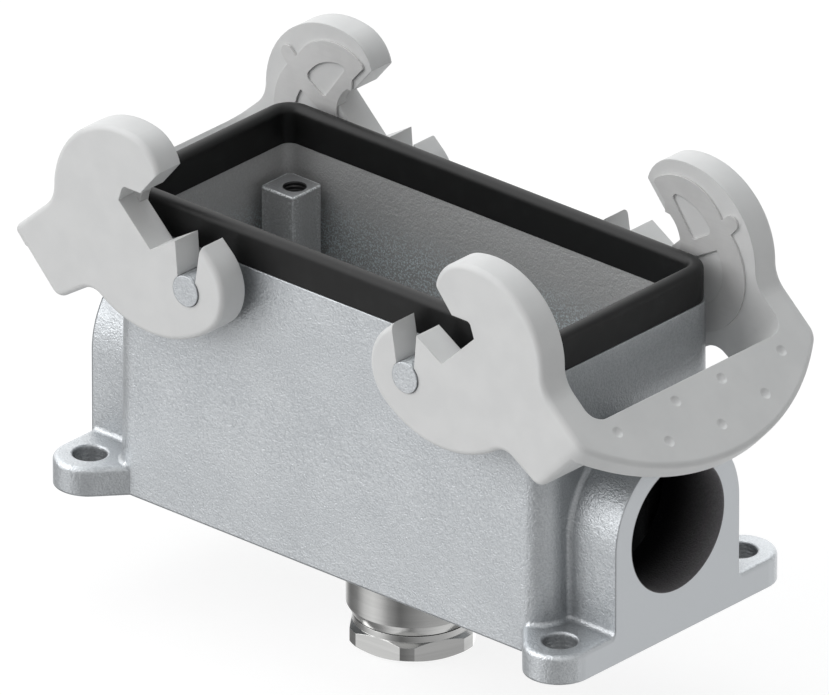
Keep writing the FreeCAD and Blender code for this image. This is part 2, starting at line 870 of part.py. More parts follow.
def place_on_pin(body, end):
    """Put a piece built about the pin axis on the housing; end is 1 right and -1 left."""
    turn = 0 if end > 0 else 180
    body.Placement = Placement(Vector(pin_x().value * end, 0, SIZES["pin_height"]),
                               Rotation(Vector(0, 0, 1), turn))
    bind(body, "Placement.Base.x", pin_x() * end)
    bind(body, "Placement.Base.z", dim("pin_height"))


def make_lever(doc, name, end):
    """A moulded locking lever: two cheeks and a cross grip in one piece."""
    body = new_body(doc, name)
    sketch = sketch_on(body, "XZ_Plane", "cheek_side_view")
    cheek_outline(sketch)
    feature(body, "Pad", "cheek_block", sketch, cheek_outer() * 2, symmetric=True)
    notch_x, notch_z = notch()
    round_edges(body, "notch_round", dim("notch_radius"),
                lambda edge: near(middle(edge).x, notch_x) and near(middle(edge).z, notch_z))
    grip_plate(body)
    open_between_cheeks(body)
    stop_nose(body)
    sketch = sketch_on(body, "XZ_Plane", "pin_bore_section")
    circle(sketch, 0, 0, dim("pin_radius") + dim("pin_clearance"))
    feature(body, "Pocket", "pin_bore", sketch, cheek_outer() * 2, symmetric=True)
    sketch = sketch_on(body, "XZ_Plane", "plate_recess_section")
    plate_outline(sketch)
    recess = cheek_inner() + dim("plate_thickness") - dim("plate_proud")
    feature(body, "Pocket", "plate_recesses", sketch, recess * 2, symmetric=True)
    round_edges(body, "rim_rounds", dim("edge_round"),
                lambda edge: on_lever_rim(edge) or on_grip_underside(edge))
    grip_dimples(body)
    place_on_pin(body, end)
    return body


def make_cam_plate(doc, name, end, side):
    """A flat metal plate in the recess of one cheek; side is 1 at the back and -1 in front."""
    body = new_body(doc, name)
    local_side = side * end
    inner = cheek_inner() - dim("plate_proud")
    sketch = sketch_on(body, "XZ_Plane", "plate_side_view", (0, 0, -inner * local_side))
    plate_outline(sketch)
    feature(body, "Pad", "plate", sketch, dim("plate_thickness"), backwards=local_side > 0)
    place_on_pin(body, end)
    return body


# Gland

def seal_end():
    """How far the rubber seal reaches below the mounting plane."""
    return dim("seal_depth") + dim("seal_length")


def make_gland_body(doc):
    """Turned body, screwed into the floor of the housing."""
    body = new_body(doc, "gland_body")
    bore, chamber = dim("gland_cable_bore"), dim("gland_chamber_radius")
    stub = dim("gland_thread_radius") - dim("thread_clearance")
    outer, length = dim("gland_body_radius"), dim("gland_body_length")
    turned(body, "body_turning", [
        (bore, dim("gland_stub_top")),
        (stub, dim("gland_stub_top")),
        (stub, dim("gland_seat_depth")),
        (outer, dim("gland_seat_depth")),
        (outer, -dim("gland_chamfer_top")),
        (dim("gland_collar_radius"), -length),
        (chamber, -length),
        (chamber, -dim("seal_depth")),
        (bore, -dim("seal_depth")),
    ])
    return body


def make_seal_ring(doc):
    """The ring seal in the recess round the gland's thread."""
    body = new_body(doc, "gland_o_ring")
    sketch = sketch_on(body, "XZ_Plane", "ring_section_view")
    section = dim("ring_section")
    circle(sketch, dim("gland_thread_radius") + dim("ring_clearance") + section,
           dim("gland_seat_depth") + dim("ring_recess_depth") / 2, section)
    made = body.newObject("PartDesign::Revolution", "ring")
    made.Profile = sketch
    made.ReferenceAxis = (sketch, ["V_Axis"])
    return body


def make_sleeve(doc, name, bore, radius, top, length):
    """A plain ring below the mounting plane: the rubber seal or the slip ring."""
    body = new_body(doc, name)
    turned(body, "sleeve_turning", [
        (bore, -top), (radius, -top), (radius, -top - length), (bore, -top - length)])
    return body


def make_pressure_screw(doc):
    """Hexagon screw that presses the rubber seal, turned first and then milled."""
    body = new_body(doc, "gland_pressure_screw")
    bore, chamfer = dim("screw_bore"), dim("screw_bore_chamfer")
    thread = dim("gland_chamber_radius") - dim("thread_clearance")
    collar, flats = dim("gland_collar_radius"), dim("hex_half_flats")
    top = -seal_end() - dim("slip_ring_thickness")
    shoulder = -dim("gland_body_length") - dim("gland_parting")
    collar_end, low = -dim("gland_collar_end"), -dim("gland_hex_end")
    hexagon, drop = dim("hex_corner_radius"), dim("hex_corner_drop")
    turned(body, "screw_turning", [
        (bore, top),
        (thread, top),
        (thread, shoulder),
        (collar, shoulder),
        (collar, collar_end),
        (hexagon, collar_end - drop),
        (hexagon, low + drop),
        (flats, low),
        (bore + chamfer, low),
        (bore, low + chamfer),
    ])
    sketch = sketch_on(body, "XY_Plane", "hexagon_plan", (0, 0, low))
    circle(sketch, 0, 0, hexagon + chamfer)
    points = []
    for number in range(6):
        angle = dim("hex_turn") + (60 * number - 60)
        reach = flats / math.cos(math.radians(30))
        points.append((reach * cos(angle), reach * sin(angle)))
    outline(sketch, points[0], [(point,) for point in points[1:] + points[:1]])
    feature(body, "Pocket", "flats", sketch, collar_end - low, backwards=True)
    return body


def export(doc, bodies):
    """Check every object and write one STEP file for each piece."""
    doc.recompute()
    for thing in doc.Objects:
        if "Invalid" in thing.State or "Error" in thing.State:
            raise RuntimeError("%s does not recompute" % thing.Label)
    os.makedirs("parts", exist_ok=True)
    for body in bodies:
        if body.Shape.isNull() or not body.Shape.isValid():
            raise RuntimeError("%s has no valid shape" % body.Label)
        body.Shape.exportStep("parts/%s.step" % body.Label)


def main():
    doc = FreeCAD.newDocument("connector_base")
    make_sheet(doc)
    bodies = [make_housing(doc), make_gasket(doc)]
    for name, end in (("lever_right", 1), ("lever_left", -1)):
        bodies.append(make_lever(doc, name, end))
        bodies.append(make_cam_plate(doc, name + "_plate_front", end, -1))
        bodies.append(make_cam_plate(doc, name + "_plate_back", end, 1))
    bodies.append(make_gland_body(doc))
    bodies.append(make_seal_ring(doc))
    chamber = dim("gland_chamber_radius") - dim("seal_clearance")
    bodies.append(make_sleeve(doc, "gland_grommet", dim("seal_bore"), chamber,
                              dim("seal_depth"), dim("seal_length")))
    bodies.append(make_sleeve(doc, "gland_slip_ring", dim("slip_ring_bore"), chamber,
                              seal_end(), dim("slip_ring_thickness")))
    bodies.append(make_pressure_screw(doc))
    export(doc, bodies)


main()
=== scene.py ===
"""Finishes, thread detail and studio for the base of a heavy duty rectangular connector."""

import bpy
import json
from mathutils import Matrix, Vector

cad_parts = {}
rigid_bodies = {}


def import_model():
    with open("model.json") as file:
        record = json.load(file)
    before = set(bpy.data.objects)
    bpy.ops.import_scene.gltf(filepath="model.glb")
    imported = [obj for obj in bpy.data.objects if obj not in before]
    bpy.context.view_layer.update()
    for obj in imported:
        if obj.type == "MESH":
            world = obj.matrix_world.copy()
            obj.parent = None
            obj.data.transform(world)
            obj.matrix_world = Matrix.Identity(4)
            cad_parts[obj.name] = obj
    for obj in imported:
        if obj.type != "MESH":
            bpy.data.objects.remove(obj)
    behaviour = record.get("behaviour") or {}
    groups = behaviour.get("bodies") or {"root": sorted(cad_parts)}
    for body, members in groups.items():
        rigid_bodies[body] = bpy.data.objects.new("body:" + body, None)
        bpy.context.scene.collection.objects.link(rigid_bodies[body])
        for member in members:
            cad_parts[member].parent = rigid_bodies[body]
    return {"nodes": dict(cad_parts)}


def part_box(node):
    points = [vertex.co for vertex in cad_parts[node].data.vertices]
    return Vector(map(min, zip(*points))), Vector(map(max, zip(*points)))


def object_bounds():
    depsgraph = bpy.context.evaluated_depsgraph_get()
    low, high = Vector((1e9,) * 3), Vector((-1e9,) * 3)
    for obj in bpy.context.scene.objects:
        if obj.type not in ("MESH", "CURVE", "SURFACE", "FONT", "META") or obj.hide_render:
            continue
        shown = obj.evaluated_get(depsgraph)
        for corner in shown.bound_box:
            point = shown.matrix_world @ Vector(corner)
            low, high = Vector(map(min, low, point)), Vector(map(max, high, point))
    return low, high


for leftover in list(bpy.data.objects):
    bpy.data.objects.remove(leftover)

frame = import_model()
CAD_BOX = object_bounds()

import json
import math
from types import SimpleNamespace

from bpy.props import FloatProperty, FloatVectorProperty, PointerProperty
from mathutils import Vector

bl_info = {
    "name": "Connector Base",
    "version": (1, 0, 0),
    "blender": (4, 5, 0),
    "location": "View3D > Sidebar > Connector",
    "description": "Finishes, thread detail and studio of a heavy duty connector base",
    "category": "Object",
}

PHOTO_WIDTH = 829
SENSOR_WIDTH = 36.0

# Places on the casting, in metres. "Along" and "across" are distances from its middle planes.

# The side entries: height of the axis, radius, and how deep the light reaches into them
ENTRY_HEIGHT = 0.0198
ENTRY_RADIUS = 0.0115
ENTRY_LIT = 0.0125

# A foot hole: along, across and radius
FOOT_HOLE = (0.0525, 0.0225, 0.00297)

# A pillar: along, across, half its side, and its top
PILLAR = (0.03955, 0.0135, 0.00375, 0.046)

# The screw hole in a pillar: along, across, radius and bottom
PILLAR_HOLE = (0.03875, 0.0135, 0.00205, 0.0335)

# The bare inside lies above this height
INSIDE_FROM = 0.0032

# How near to a flat wall, and to the wall of a side entry, a place still counts as on it
NEAR_WALL = 0.0001
NEAR_ENTRY = 0.00012

# The cast grain sets in between these distances from the milled end faces and underside
MILLED_EDGE = (0.00005, 0.0003)

# Painted glints, and the painted shade between them, set in between these heights on the inner walls, going
# down
PAINTED_GLINT_HEIGHT = (0.0455, 0.036)

# The painted shade round a pillar's base sets in between these distances from its middle, and these heights
BASE_REACH = (0.009, 0.005)
BASE_HEIGHT = (0.028, 0.020)

# The painted highlight line sets in between these distances from a pillar's edges, and the painted
# streak of glints from its upright corners
PAINTED_HIGHLIGHT_EDGE = (0.0005, 0.0002)
PAINTED_CORNER_STREAK = (0.003, 0.0006)

# The coating takes on painted shade as the open share of what lies round it falls from the first to the
# second
NOOK_OPENNESS = (0.9, 0.45)

# The pressure screw's thread lies between these radii
SCREW_THREAD = (0.0088, 0.00899)

# Brightness of the studio's sides for reflections, by the direction's angle in degrees from +X
SIDES = ((-180, 0.22), (-160, 0.31), (-140, 0.82), (-122, 1.0), (-108, 0.84), (-92, 0.42), (-72, 0.18),
         (-50, 0.33), (-24, 0.50), (10, 0.58), (48, 0.85), (90, 1.0), (118, 0.9), (142, 0.35), (180, 0.22))

# Regions of the studio with soft rims: the direction of the middle, and how far a direction agrees
# with it at the rim and where the region is at its full strength
CEILING = ((0.0, 0.0, 1.0), -0.05, 0.35)
DIM_CEILING = ((0.66, 0.74, 0.12), 0.75, 0.97)
SKYLIGHT = ((-0.60, 0.08, 0.795), 0.8, 0.96)
WINDOW = ((-0.655, 0.745, 0.12), 0.6, 0.93)
DARK_SIDE = ((0.78, 0.25, -0.57), -0.3, 0.9)

# The lamps: the setting that holds the strength, the direction, the width in degrees and the tint
LAMPS = (("key", (-0.60, -0.66, 0.50), 56.0, (1.0, 1.0, 1.0)),
         ("top", (-0.15, 0.25, 1.0), 60.0, (0.95, 0.99, 1.0)))


def colour(name, description, default):
    """A colour that the user can change."""
    return FloatVectorProperty(name=name, description=description, default=default,
                               subtype="COLOR", size=3, min=0.0, max=1.0)


def length(name, description, default):
    """A length in metres that the user can change."""
    return FloatProperty(name=name, description=description, default=default,
                         unit="LENGTH", precision=6, min=0.000001)


def share(name, description, default):
    """A plain number from 0 to 1 that the user can change."""
    return FloatProperty(name=name, description=description, default=default,
                         subtype="FACTOR", min=0.0, max=1.0)


def strength(name, description, default):
    """A brightness that the user can change."""
    return FloatProperty(name=name, description=description, default=default, min=0.0)


class CastingSettings(bpy.types.PropertyGroup):
    """The coated die casting."""
    light: colour("Light", "Coating on the high spots of the grain", (0.69, 0.715, 0.737))
    dark: colour("Dark", "Coating in the low spots of the grain", (0.55, 0.575, 0.60))
    inside: colour("Inside", "Bare casting inside the housing", (0.62, 0.62, 0.62))
    # Painted shade low inside the housing, between the painted glints
    depth: colour("Depth", "Bare casting low inside the housing", (0.25, 0.26, 0.27))
    # Painted highlight: glints painted into the bare casting low inside
    painted_glint: colour("Glint", "Glints of the grain low inside the housing", (0.82, 0.90, 0.93))
    pillar: colour("Pillar", "Shade on the pillars", (0.2, 0.205, 0.215))
    pillar_top: colour("Pillar top", "Shade on the tops of the pillars", (0.15, 0.155, 0.165))
    # Painted highlight on the pillars' edges and upright corners
    painted_highlight: colour("Worn", "Bright metal on the worn edges of the pillars", (0.85, 0.87, 0.88))
    # Painted shade: the dark in the side entries, the holes, the nooks and round the pillars' bases
    painted_shade: colour("Bored", "Darkness deep in the side entries and in other holes and nooks",
                  (0.0035, 0.0035, 0.0038))
    # The lit end of the painted shade in the side entries
    mouth: colour("Mouth", "Walls of the side entries near their mouths", (0.30, 0.29, 0.30))
    # Share of painted shade in the coating's nooks
    painted_nook_shade: share("Grime", "How much darker the coating is in its nooks", 0.36)
    metal: share("Metal", "How much the coating reflects as metal does", 0.70)
    inside_metal: share("Inside metal", "How much the inside reflects as metal does", 0.4)
    roughness: share("Roughness", "Roughness of the coating", 0.36)
    grain: length("Grain", "Size of the cast grain", 0.00034)
    lumps: length("Lumps", "Size of the coarser lumps in the grain", 0.001088)
    relief: length("Relief", "Height of the cast grain", 0.00016)
    # Size of the painted glints
    painted_glint_size: length("Glint size", "Size of the glints inside", 0.00032)
    patches: length("Patches", "Size of the paler patches in the coating", 0.011)
    milling: length("Milling", "Width of the marks on the milled faces", 0.0003)
    nook: length("Nook", "How far away a face still shades a nook", 0.03)
    wall: length("Wall", "How far the inside lies behind the faces of the rim", 0.0026)
    thread: length("Thread", "Pitch of the rings in the pillars' holes and the foot holes", 0.0007)
    thread_relief: length("Thread relief", "Depth of the rings in the pillars' holes", 0.0000512)
    foot_relief: length("Foot relief", "Depth of the rings in the foot holes", 0.0000154)
    edge: length("Edge", "Softening of the sharp edges", 0.0003)


class PlasticSettings(bpy.types.PropertyGroup):
    """The moulded levers and the slip ring."""
    light: colour("Light", "Plastic colour", (0.745, 0.747, 0.745))
    dark: colour("Dark", "Plastic colour in the faint clouding", (0.71, 0.713, 0.712))
    ring_light: colour("Slip ring light", "Black plastic on the high spots", (0.035, 0.035, 0.036))
    ring_dark: colour("Slip ring dark", "Black plastic in the low spots", (0.02, 0.02, 0.02))
    roughness: share("Roughness", "Roughness of the moulded skin", 0.42)
    cloud: length("Cloud", "Size of the faint clouding", 0.006)
    grain: length("Grain", "Size of the eroded texture of the mould", 0.00016)
    relief: length("Relief", "Height of the texture", 0.000006)
    ring_grain: length("Slip ring grain", "Size of the slip ring's texture", 0.0002)
    ring_relief: length("Slip ring relief", "Height of the slip ring's texture", 0.000005)
    edge: length("Edge", "Softening of the sharp edges", 0.00025)


class RubberSettings(bpy.types.PropertyGroup):
    """The gasket and the rubber in the gland."""
    tone: colour("Rubber", "Black moulded rubber", (0.0012, 0.0013, 0.0014))
    dust: colour("Bloom", "Grey bloom on the rubber", (0.006, 0.0062, 0.0065))
    roughness: share("Roughness", "Roughness of the rubber", 0.5)
    gloss: share("Gloss", "Strength of the rubber's sheen", 0.36)
    patches: length("Patches", "Size of the patches of bloom", 0.004)
    grain: length("Grain", "Size of the texture of the skin", 0.0002)
    relief: length("Relief", "Height of the moulded skin", 0.000008)
    edge: length("Edge", "Softening of the sharp edges", 0.0002)


class MetalSettings(bpy.types.PropertyGroup):
    """The cam plates and the gland."""
    steel: colour("Steel", "Stamped steel of the cam plates", (0.70, 0.698, 0.695))
    steel_metal: share("Steel metal", "How much the steel reflects as bare metal does", 0.25)
    steel_roughness: share("Steel roughness", "Roughness of the stamped steel", 0.55)
    rolling: length("Rolling", "Width of the rolling marks", 0.0004)
    rolling_relief: length("Rolling relief", "Depth of the rolling marks", 0.000005)
    stains: length("Stains", "Size of the stains on the steel", 0.005)
    nickel: colour("Nickel", "Nickel plating of the gland", (0.62, 0.62, 0.612))
    nickel_roughness: share("Nickel roughness", "Roughness of the nickel plating", 0.15)
    turning: length("Turning pitch", "Distance between the lathe's tool marks", 0.00022)
    turning_relief: length("Turning relief", "Depth of the lathe's tool marks", 0.0000025)
    wander: length("Wander", "Size of the waves in the tool marks", 0.003)
    streaks: length("Streaks", "Width of the streaks in the nickel", 0.0008)
    thread: length("Thread", "Pitch of the pressure screw's thread", 0.001)
    thread_relief: length("Thread relief", "Depth of the pressure screw's thread", 0.00015)
    edge: length("Edge", "Softening of the sharp edges", 0.00012)


class StageSettings(bpy.types.PropertyGroup):
    """Camera, lamps and background."""
    azimuth: FloatProperty(name="Azimuth", description="Camera's turn round the part",
                           default=math.radians(41.763), subtype="ANGLE")
    elevation: FloatProperty(name="Elevation", description="Camera's height above the horizon",
                             default=math.radians(26.098), subtype="ANGLE")
    scale: FloatProperty(name="Scale", description="Picture points to the metre", default=5997.0)
    lens: FloatProperty(name="Lens", description="Focal length in millimetres", default=1300.0)
    aim_right: FloatProperty(name="Aim right", description="Aim to the right of the frame's origin",
                             default=0.000106, unit="LENGTH", precision=6)
    aim_up: FloatProperty(name="Aim up", description="Aim above the frame's origin",
                          default=0.03017, unit="LENGTH", precision=6)
    floor_gap: length("Floor gap", "Gap between the part and the floor", 0.0005)
    floor_size: length("Floor size", "Side of the square floor", 12.0)
    floor_glow: strength("Floor glow", "White that the camera sees on the floor, shadow or not", 0.84)
    floor_shadow: share("Floor shadow", "How strongly the part's shadow shows on the floor", 0.24)
    floor_bounce: share("Floor bounce", "Light that the floor throws back on the part", 0.7)
    dim_ceiling: share("Dim ceiling", "Share of the ceiling's brightness where it is dimmer", 0.45)
    dark_side: share("Dark side", "Share of the room's light on its dark side", 0.268)
    key: strength("Key", "Strength of the key lamp", 1.55)
    top: strength("Top", "Strength of the top lamp", 0.88)
    ambient: strength("Ambient", "Strength of the room's light", 0.4032)
    overhead: strength("Overhead", "Brightness of the ceiling in reflections", 0.82)
    skylight: strength("Skylight", "Brightness of the skylight in reflections", 0.95)
    window: strength("Window", "Brightness of the window behind in reflections", 0.70)


# Shader graphs

class Graph:
    """Adds nodes to a shader tree and sets or links their inputs."""

    def __init__(self, tree):
        self.tree = tree

    def put(self, socket, value):
        """Link an input to an output, or set it to a plain value."""
        if isinstance(value, bpy.types.NodeSocket):
            self.tree.links.new(value, socket)
        else:
            socket.default_value = value

    def node(self, kind, inputs=None, **settings):
        """Add a node with these inputs and settings."""
        made = self.tree.nodes.new("ShaderNode" + kind)
        for name, value in settings.items():
            setattr(made, name, value)
        for name, value in (inputs or {}).items():
            self.put(made.inputs[name], value)
        return made

    def math(self, operation, first, second=0.0):
        return self.node("Math", {0: first, 1: second}, operation=operation).outputs[0]

    def plus(self, first, second):
        return self.math("ADD", first, second)

    def minus(self, first, second):
        return self.math("SUBTRACT", first, second)

    def times(self, first, second):
        return self.math("MULTIPLY", first, second)

    def below(self, value, limit):
        return self.math("LESS_THAN", value, limit)

    def above(self, value, limit):
        return self.math("GREATER_THAN", value, limit)

    def highest(self, first, second):
        return self.math("MAXIMUM", first, second)

    def off(self, value, middle):
        """How far a value lies from a middle, to either side."""
        return self.math("ABSOLUTE", self.minus(value, middle))

    def reach(self, first, second):
        """Length of the line with these two legs."""
        return self.math("SQRT", self.plus(self.times(first, first), self.times(second, second)))

    def spread(self, value, low, high, to_low=0.0, to_high=1.0):
        """Map a value from one range to another, smoothly, and hold it at both ends."""
        return self.node("MapRange", {0: value, 1: low, 2: high, 3: to_low, 4: to_high},
                         interpolation_type="SMOOTHSTEP").outputs[0]

    def blend(self, factor, first, second):
        """Go straight from the first number to the second as the factor goes from 0 to 1."""
        return self.node("MapRange", {0: factor, 1: 0.0, 2: 1.0, 3: first, 4: second},
                         interpolation_type="LINEAR").outputs[0]

    def mix(self, factor, first, second):
        """Mix two colours."""
        pair = [value if isinstance(value, bpy.types.NodeSocket) else (*value, 1.0)
                for value in (first, second)]
        return self.node("Mix", {0: factor, 6: pair[0], 7: pair[1]}, data_type="RGBA").outputs[2]

    def noise(self, where, size, detail, stretch=None):
        """Noise whose features have about the given size in metres."""
        if stretch:
            where = self.node("Mapping", {"Vector": where, "Scale": stretch}).outputs[0]
        return self.node("TexNoise", {"Vector": where, "Scale": 1.0 / size, "Detail": detail}).outputs[0]

    def along(self, direction, axis):
        """How far a direction agrees with an axis."""
        return self.node("VectorMath", {0: direction, 1: axis}, operation="DOT_PRODUCT").outputs["Value"]

    def split(self, place):
        """The coordinates of a place."""
        return self.node("SeparateXYZ", {0: place}).outputs

    def bump(self, height, distance, edge=0.0):
        """Bumps from a height between 0 and 1, over softened edges."""
        inputs = {"Height": height, "Distance": distance, "Strength": 1.0}
        if edge:
            inputs["Normal"] = self.node("Bevel", {"Radius": edge}, samples=6).outputs[0]
        return self.node("Bump", inputs).outputs[0]

    def finish(self, **inputs):
        """The surface shader, with its inputs named with underscores, and the output."""
        named = {name.replace("_", " "): value for name, value in inputs.items()}
        self.show("Material", self.node("BsdfPrincipled", named))

    def show(self, kind, shader):
        """Send a shader to the output of a material or a world."""
        self.put(self.node("Output" + kind).inputs["Surface"], shader.outputs[0])


def grey(level):
    """An opaque grey for a shader's colour."""
    return (level, level, level, 1.0)


def new_graph(owner):
    """An empty graph in a material or a world."""
    owner.use_nodes = True
    owner.node_tree.nodes.clear()
    return Graph(owner.node_tree)


def new_material(name):
    """An empty material, its graph and its place coordinates."""
    material = bpy.data.materials.new(name)
    graph = new_graph(material)
    return material, graph, graph.node("TexCoord").outputs["Object"]


def dress(node, material):
    """Give a CAD node its finish."""
    slots = frame["nodes"][node].data.materials
    slots.clear()
    slots.append(material)


def housing_zones(graph, place, settings):
    """Masks from 0 to 1 for the kinds of surface on the housing, and the distances they need."""
    x, y, z = graph.split(place)
    along, across = graph.math("ABSOLUTE", x), graph.math("ABSOLUTE", y)
    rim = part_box("rim_gasket")[1]
    from_end = graph.minus(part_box("housing")[1][0], along)
    past_wall = graph.minus(rim[0] - settings.wall, along)
    past_side = graph.minus(rim[1] - settings.wall, across)
    hollow = graph.above(graph.math("MINIMUM", past_wall, past_side), -NEAR_WALL)

    from_axis = graph.reach(y, graph.minus(z, ENTRY_HEIGHT))
    on_entry = graph.below(graph.off(from_axis, ENTRY_RADIUS), NEAR_ENTRY)
    from_foot = graph.reach(graph.minus(along, FOOT_HOLE[0]), graph.minus(across, FOOT_HOLE[1]))
    from_screw = graph.reach(graph.minus(along, PILLAR_HOLE[0]), graph.minus(across, PILLAR_HOLE[1]))

    off_middle = (graph.off(along, PILLAR[0]), graph.off(across, PILLAR[1]))
    from_pillar = graph.highest(*off_middle)
    pillar = graph.below(from_pillar, PILLAR[2] + NEAR_WALL)
    # Where the painted glints and the painted shade between them lie
    low = graph.spread(z, *PAINTED_GLINT_HEIGHT)
    return SimpleNamespace(
        height=z,
        from_end=from_end,
        inside=graph.times(hollow, graph.above(z, INSIDE_FROM)),
        cast=graph.times(graph.spread(from_end, *MILLED_EDGE), graph.spread(z, *MILLED_EDGE)),
        entry=graph.times(on_entry, graph.below(past_wall, 2 * NEAR_WALL)),
        foot_hole=graph.below(from_foot, FOOT_HOLE[2]),
        screw_hole=graph.times(graph.below(from_screw, PILLAR_HOLE[2]), graph.above(z, PILLAR_HOLE[3])),
        pillar=pillar,
        off_top=graph.off(z, PILLAR[3]),
        off_sides=[graph.off(off, PILLAR[2]) for off in off_middle],
        low=graph.times(low, graph.minus(1.0, pillar)),
        painted_base_shade=graph.times(graph.spread(from_pillar, *BASE_REACH), graph.spread(z, *BASE_HEIGHT)),
    )


def coating_tone(graph, place, settings, zones, fine):
    """The coating: paler on high spots and in patches, with painted shade in nooks and in the foot holes.
    """
    patches = graph.noise(place, settings.patches, 3.0)
    speckle = graph.spread(graph.plus(fine, graph.times(patches, 0.35)), 0.42, 0.9)
    tone = graph.mix(graph.blend(zones.cast, 0.5, speckle), settings.dark, settings.light)
    # Painted shade in nooks, from how open the room round a place is
    openness = graph.node("AmbientOcclusion", {"Distance": settings.nook}, samples=8).outputs["AO"]
    tone = graph.mix(graph.spread(openness, *NOOK_OPENNESS, 0.0, settings.painted_nook_shade), tone, settings.painted_shade)
    # Painted shade in the foot holes
    return graph.mix(graph.times(zones.foot_hole, 0.12), tone, settings.painted_shade)


def inside_tone(graph, place, settings, zones, fine):
    """The bare inside: painted glints and shade low down, painted shade and edge highlights on the pillars,
    and painted shade round their bases.
    """
    dull = [value * 0.88 for value in settings.inside]
    tone = graph.mix(graph.spread(fine, 0.3, 0.8), dull, settings.inside)
    # Painted glints: bright specks picked out of a fine noise
    painted_glint = graph.spread(graph.noise(place, settings.painted_glint_size, 2.0), 0.46, 0.62, 0.0, 0.85)
    # Painted shade low on the inner walls
    tone = graph.mix(graph.times(zones.low, 0.25), tone, settings.depth)
    # Painted glints low on the inner walls
    tone = graph.mix(graph.times(zones.low, painted_glint), tone, settings.painted_glint)
    tone = graph.mix(graph.times(zones.pillar, 0.3), tone, settings.pillar)

    near_top, *near_sides = [graph.spread(off, *PAINTED_HIGHLIGHT_EDGE) for off in (zones.off_top, *zones.off_sides)]
    top_edges = [graph.times(near_top, near_side) for near_side in near_sides]
    edges = graph.highest(top_edges[0], graph.highest(top_edges[1], graph.times(*near_sides)))
    # Painted streak of glints down a pillar's upright corners
    painted_streak = graph.times(graph.spread(graph.plus(*zones.off_sides), *PAINTED_CORNER_STREAK), painted_glint)
    edges = graph.highest(edges, graph.times(painted_streak, 0.6))
    painted_highlight = graph.times(edges, graph.spread(fine, 0.35, 0.6, 0.3, 1.0))

    tone = graph.mix(graph.times(near_top, graph.times(zones.pillar, 0.6)), tone, settings.pillar_top)
    # Painted highlight on the pillars' edges
    tone = graph.mix(graph.times(painted_highlight, zones.pillar), tone, settings.painted_highlight)
    # Painted shade round the pillars' bases
    return graph.mix(graph.times(zones.painted_base_shade, 0.97), tone, settings.painted_shade)


def entry_tone(graph, settings, zones, fine):
    """The walls of the side entries, with painted shade that grows dark away from the mouth."""
    depth = graph.times(zones.from_end, 1.0 / ENTRY_LIT)
    lit = graph.math("POWER", graph.blend(depth, 1.0, 0.0), 2.6)
    grain = graph.spread(fine, 0.3, 0.75, 0.8, 1.0)
    return graph.mix(graph.times(lit, grain), settings.painted_shade, settings.mouth)


def casting_relief(graph, place, settings, zones, fine):
    """Height of the cast grain, of the marks on milled faces and of the rings in the round holes."""
    lumps = graph.noise(place, settings.lumps, 2.0)
    grain = graph.plus(graph.times(fine, 0.80), graph.times(lumps, 0.62))
    milled = graph.noise(place, settings.milling, 2.0, (1.0, 0.15, 1.0))
    height = graph.plus(graph.times(grain, zones.cast), graph.times(milled, 0.12))
    rings = graph.math("SINE", graph.times(zones.height, math.tau / settings.thread))
    ringed = graph.plus(graph.times(zones.screw_hole, settings.thread_relief / settings.relief),
                        graph.times(zones.foot_hole, settings.foot_relief / settings.relief))
    return graph.plus(height, graph.times(rings, ringed))


def casting_material(settings):
    """Coating over cast grain, milled end faces, bare inside, side entries dark with painted shade, and
    ringed holes.
    """
    material, graph, place = new_material("cast_coating")
    zones = housing_zones(graph, place, settings)
    fine = graph.noise(place, settings.grain, 3.0)
    coating = coating_tone(graph, place, settings, zones, fine)
    inside = inside_tone(graph, place, settings, zones, fine)
    tone = graph.mix(zones.entry, graph.mix(zones.inside, coating, inside),
                     entry_tone(graph, settings, zones, fine))
    # Painted shade in the pillars' screw holes
    tone = graph.mix(graph.times(zones.screw_hole, 0.85), tone, settings.painted_shade)
    rough = graph.plus(settings.roughness - 0.05, graph.times(graph.plus(fine, zones.inside), 0.1))
    metal = graph.times(graph.blend(zones.inside, settings.metal, settings.inside_metal),
                        graph.minus(1.0, zones.entry))
    polish = graph.blend(graph.highest(zones.entry, zones.painted_base_shade), 0.5, 0.0)
    height = casting_relief(graph, place, settings, zones, fine)
    graph.finish(Base_Color=tone, Metallic=metal, Roughness=rough, Specular_IOR_Level=polish,
                 Normal=graph.bump(height, settings.relief, settings.edge))
    return material


def plastic_material(settings):
    """Light grey moulded plastic with a faint eroded texture."""
    material, graph, place = new_material("lever_plastic_skin")
    cloud = graph.noise(place, settings.cloud, 3.0)
    texture = graph.noise(place, settings.grain, 2.0)
    tone = graph.mix(graph.spread(cloud, 0.3, 0.7), settings.dark, settings.light)
    rough = graph.plus(settings.roughness - 0.04, graph.times(texture, 0.08))
    graph.finish(Base_Color=tone, Roughness=rough, IOR=1.5,
                 Normal=graph.bump(texture, settings.relief, settings.edge))
    return material


def rubber_material(settings):
    """Black moulded rubber with a trace of grey bloom."""
    material, graph, place = new_material("black_rubber")
    bloom = graph.noise(place, settings.patches, 4.0)
    skin = graph.noise(place, settings.grain, 3.0)
    tone = graph.mix(graph.spread(bloom, 0.45, 0.8), settings.tone, settings.dust)
    rough = graph.plus(settings.roughness - 0.05, graph.times(skin, 0.1))
    graph.finish(Base_Color=tone, Roughness=rough, IOR=1.5, Specular_IOR_Level=settings.gloss,
                 Normal=graph.bump(skin, settings.relief, settings.edge))
    return material


